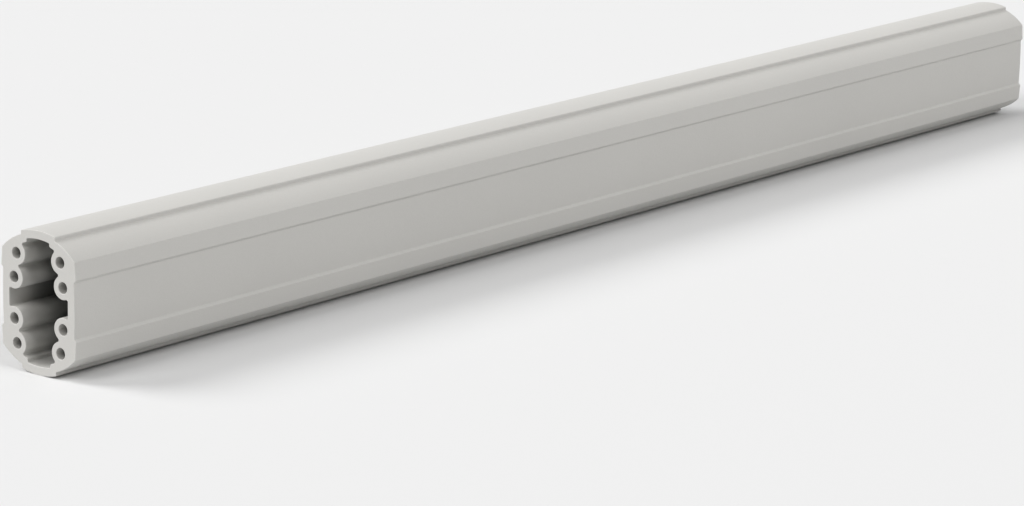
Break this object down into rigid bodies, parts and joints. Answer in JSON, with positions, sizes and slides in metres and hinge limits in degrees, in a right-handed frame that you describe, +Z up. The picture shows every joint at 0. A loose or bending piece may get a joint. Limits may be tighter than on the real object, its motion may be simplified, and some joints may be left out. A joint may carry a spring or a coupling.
{
  "type": "support arm profile",
  "caption": "Straight extruded aluminium support arm section with convex caps, shallow side panels, an open cable cavity and round screw channels in bosses, sawn square at both ends.",
  "frame": {"origin": "centre of the section at mid-length", "axes": "+X along the arm, +Y across its narrow width, +Z up through its two caps"},
  "size_m": [1, 0.058, 0.0828],
  "materials": {
    "powder_coat": "satin light grey powder coat on aluminium, ends included"
  },
  "bodies": {
    "root": {"arm_profile": "powder_coat"}
  },
  "joints": []
}
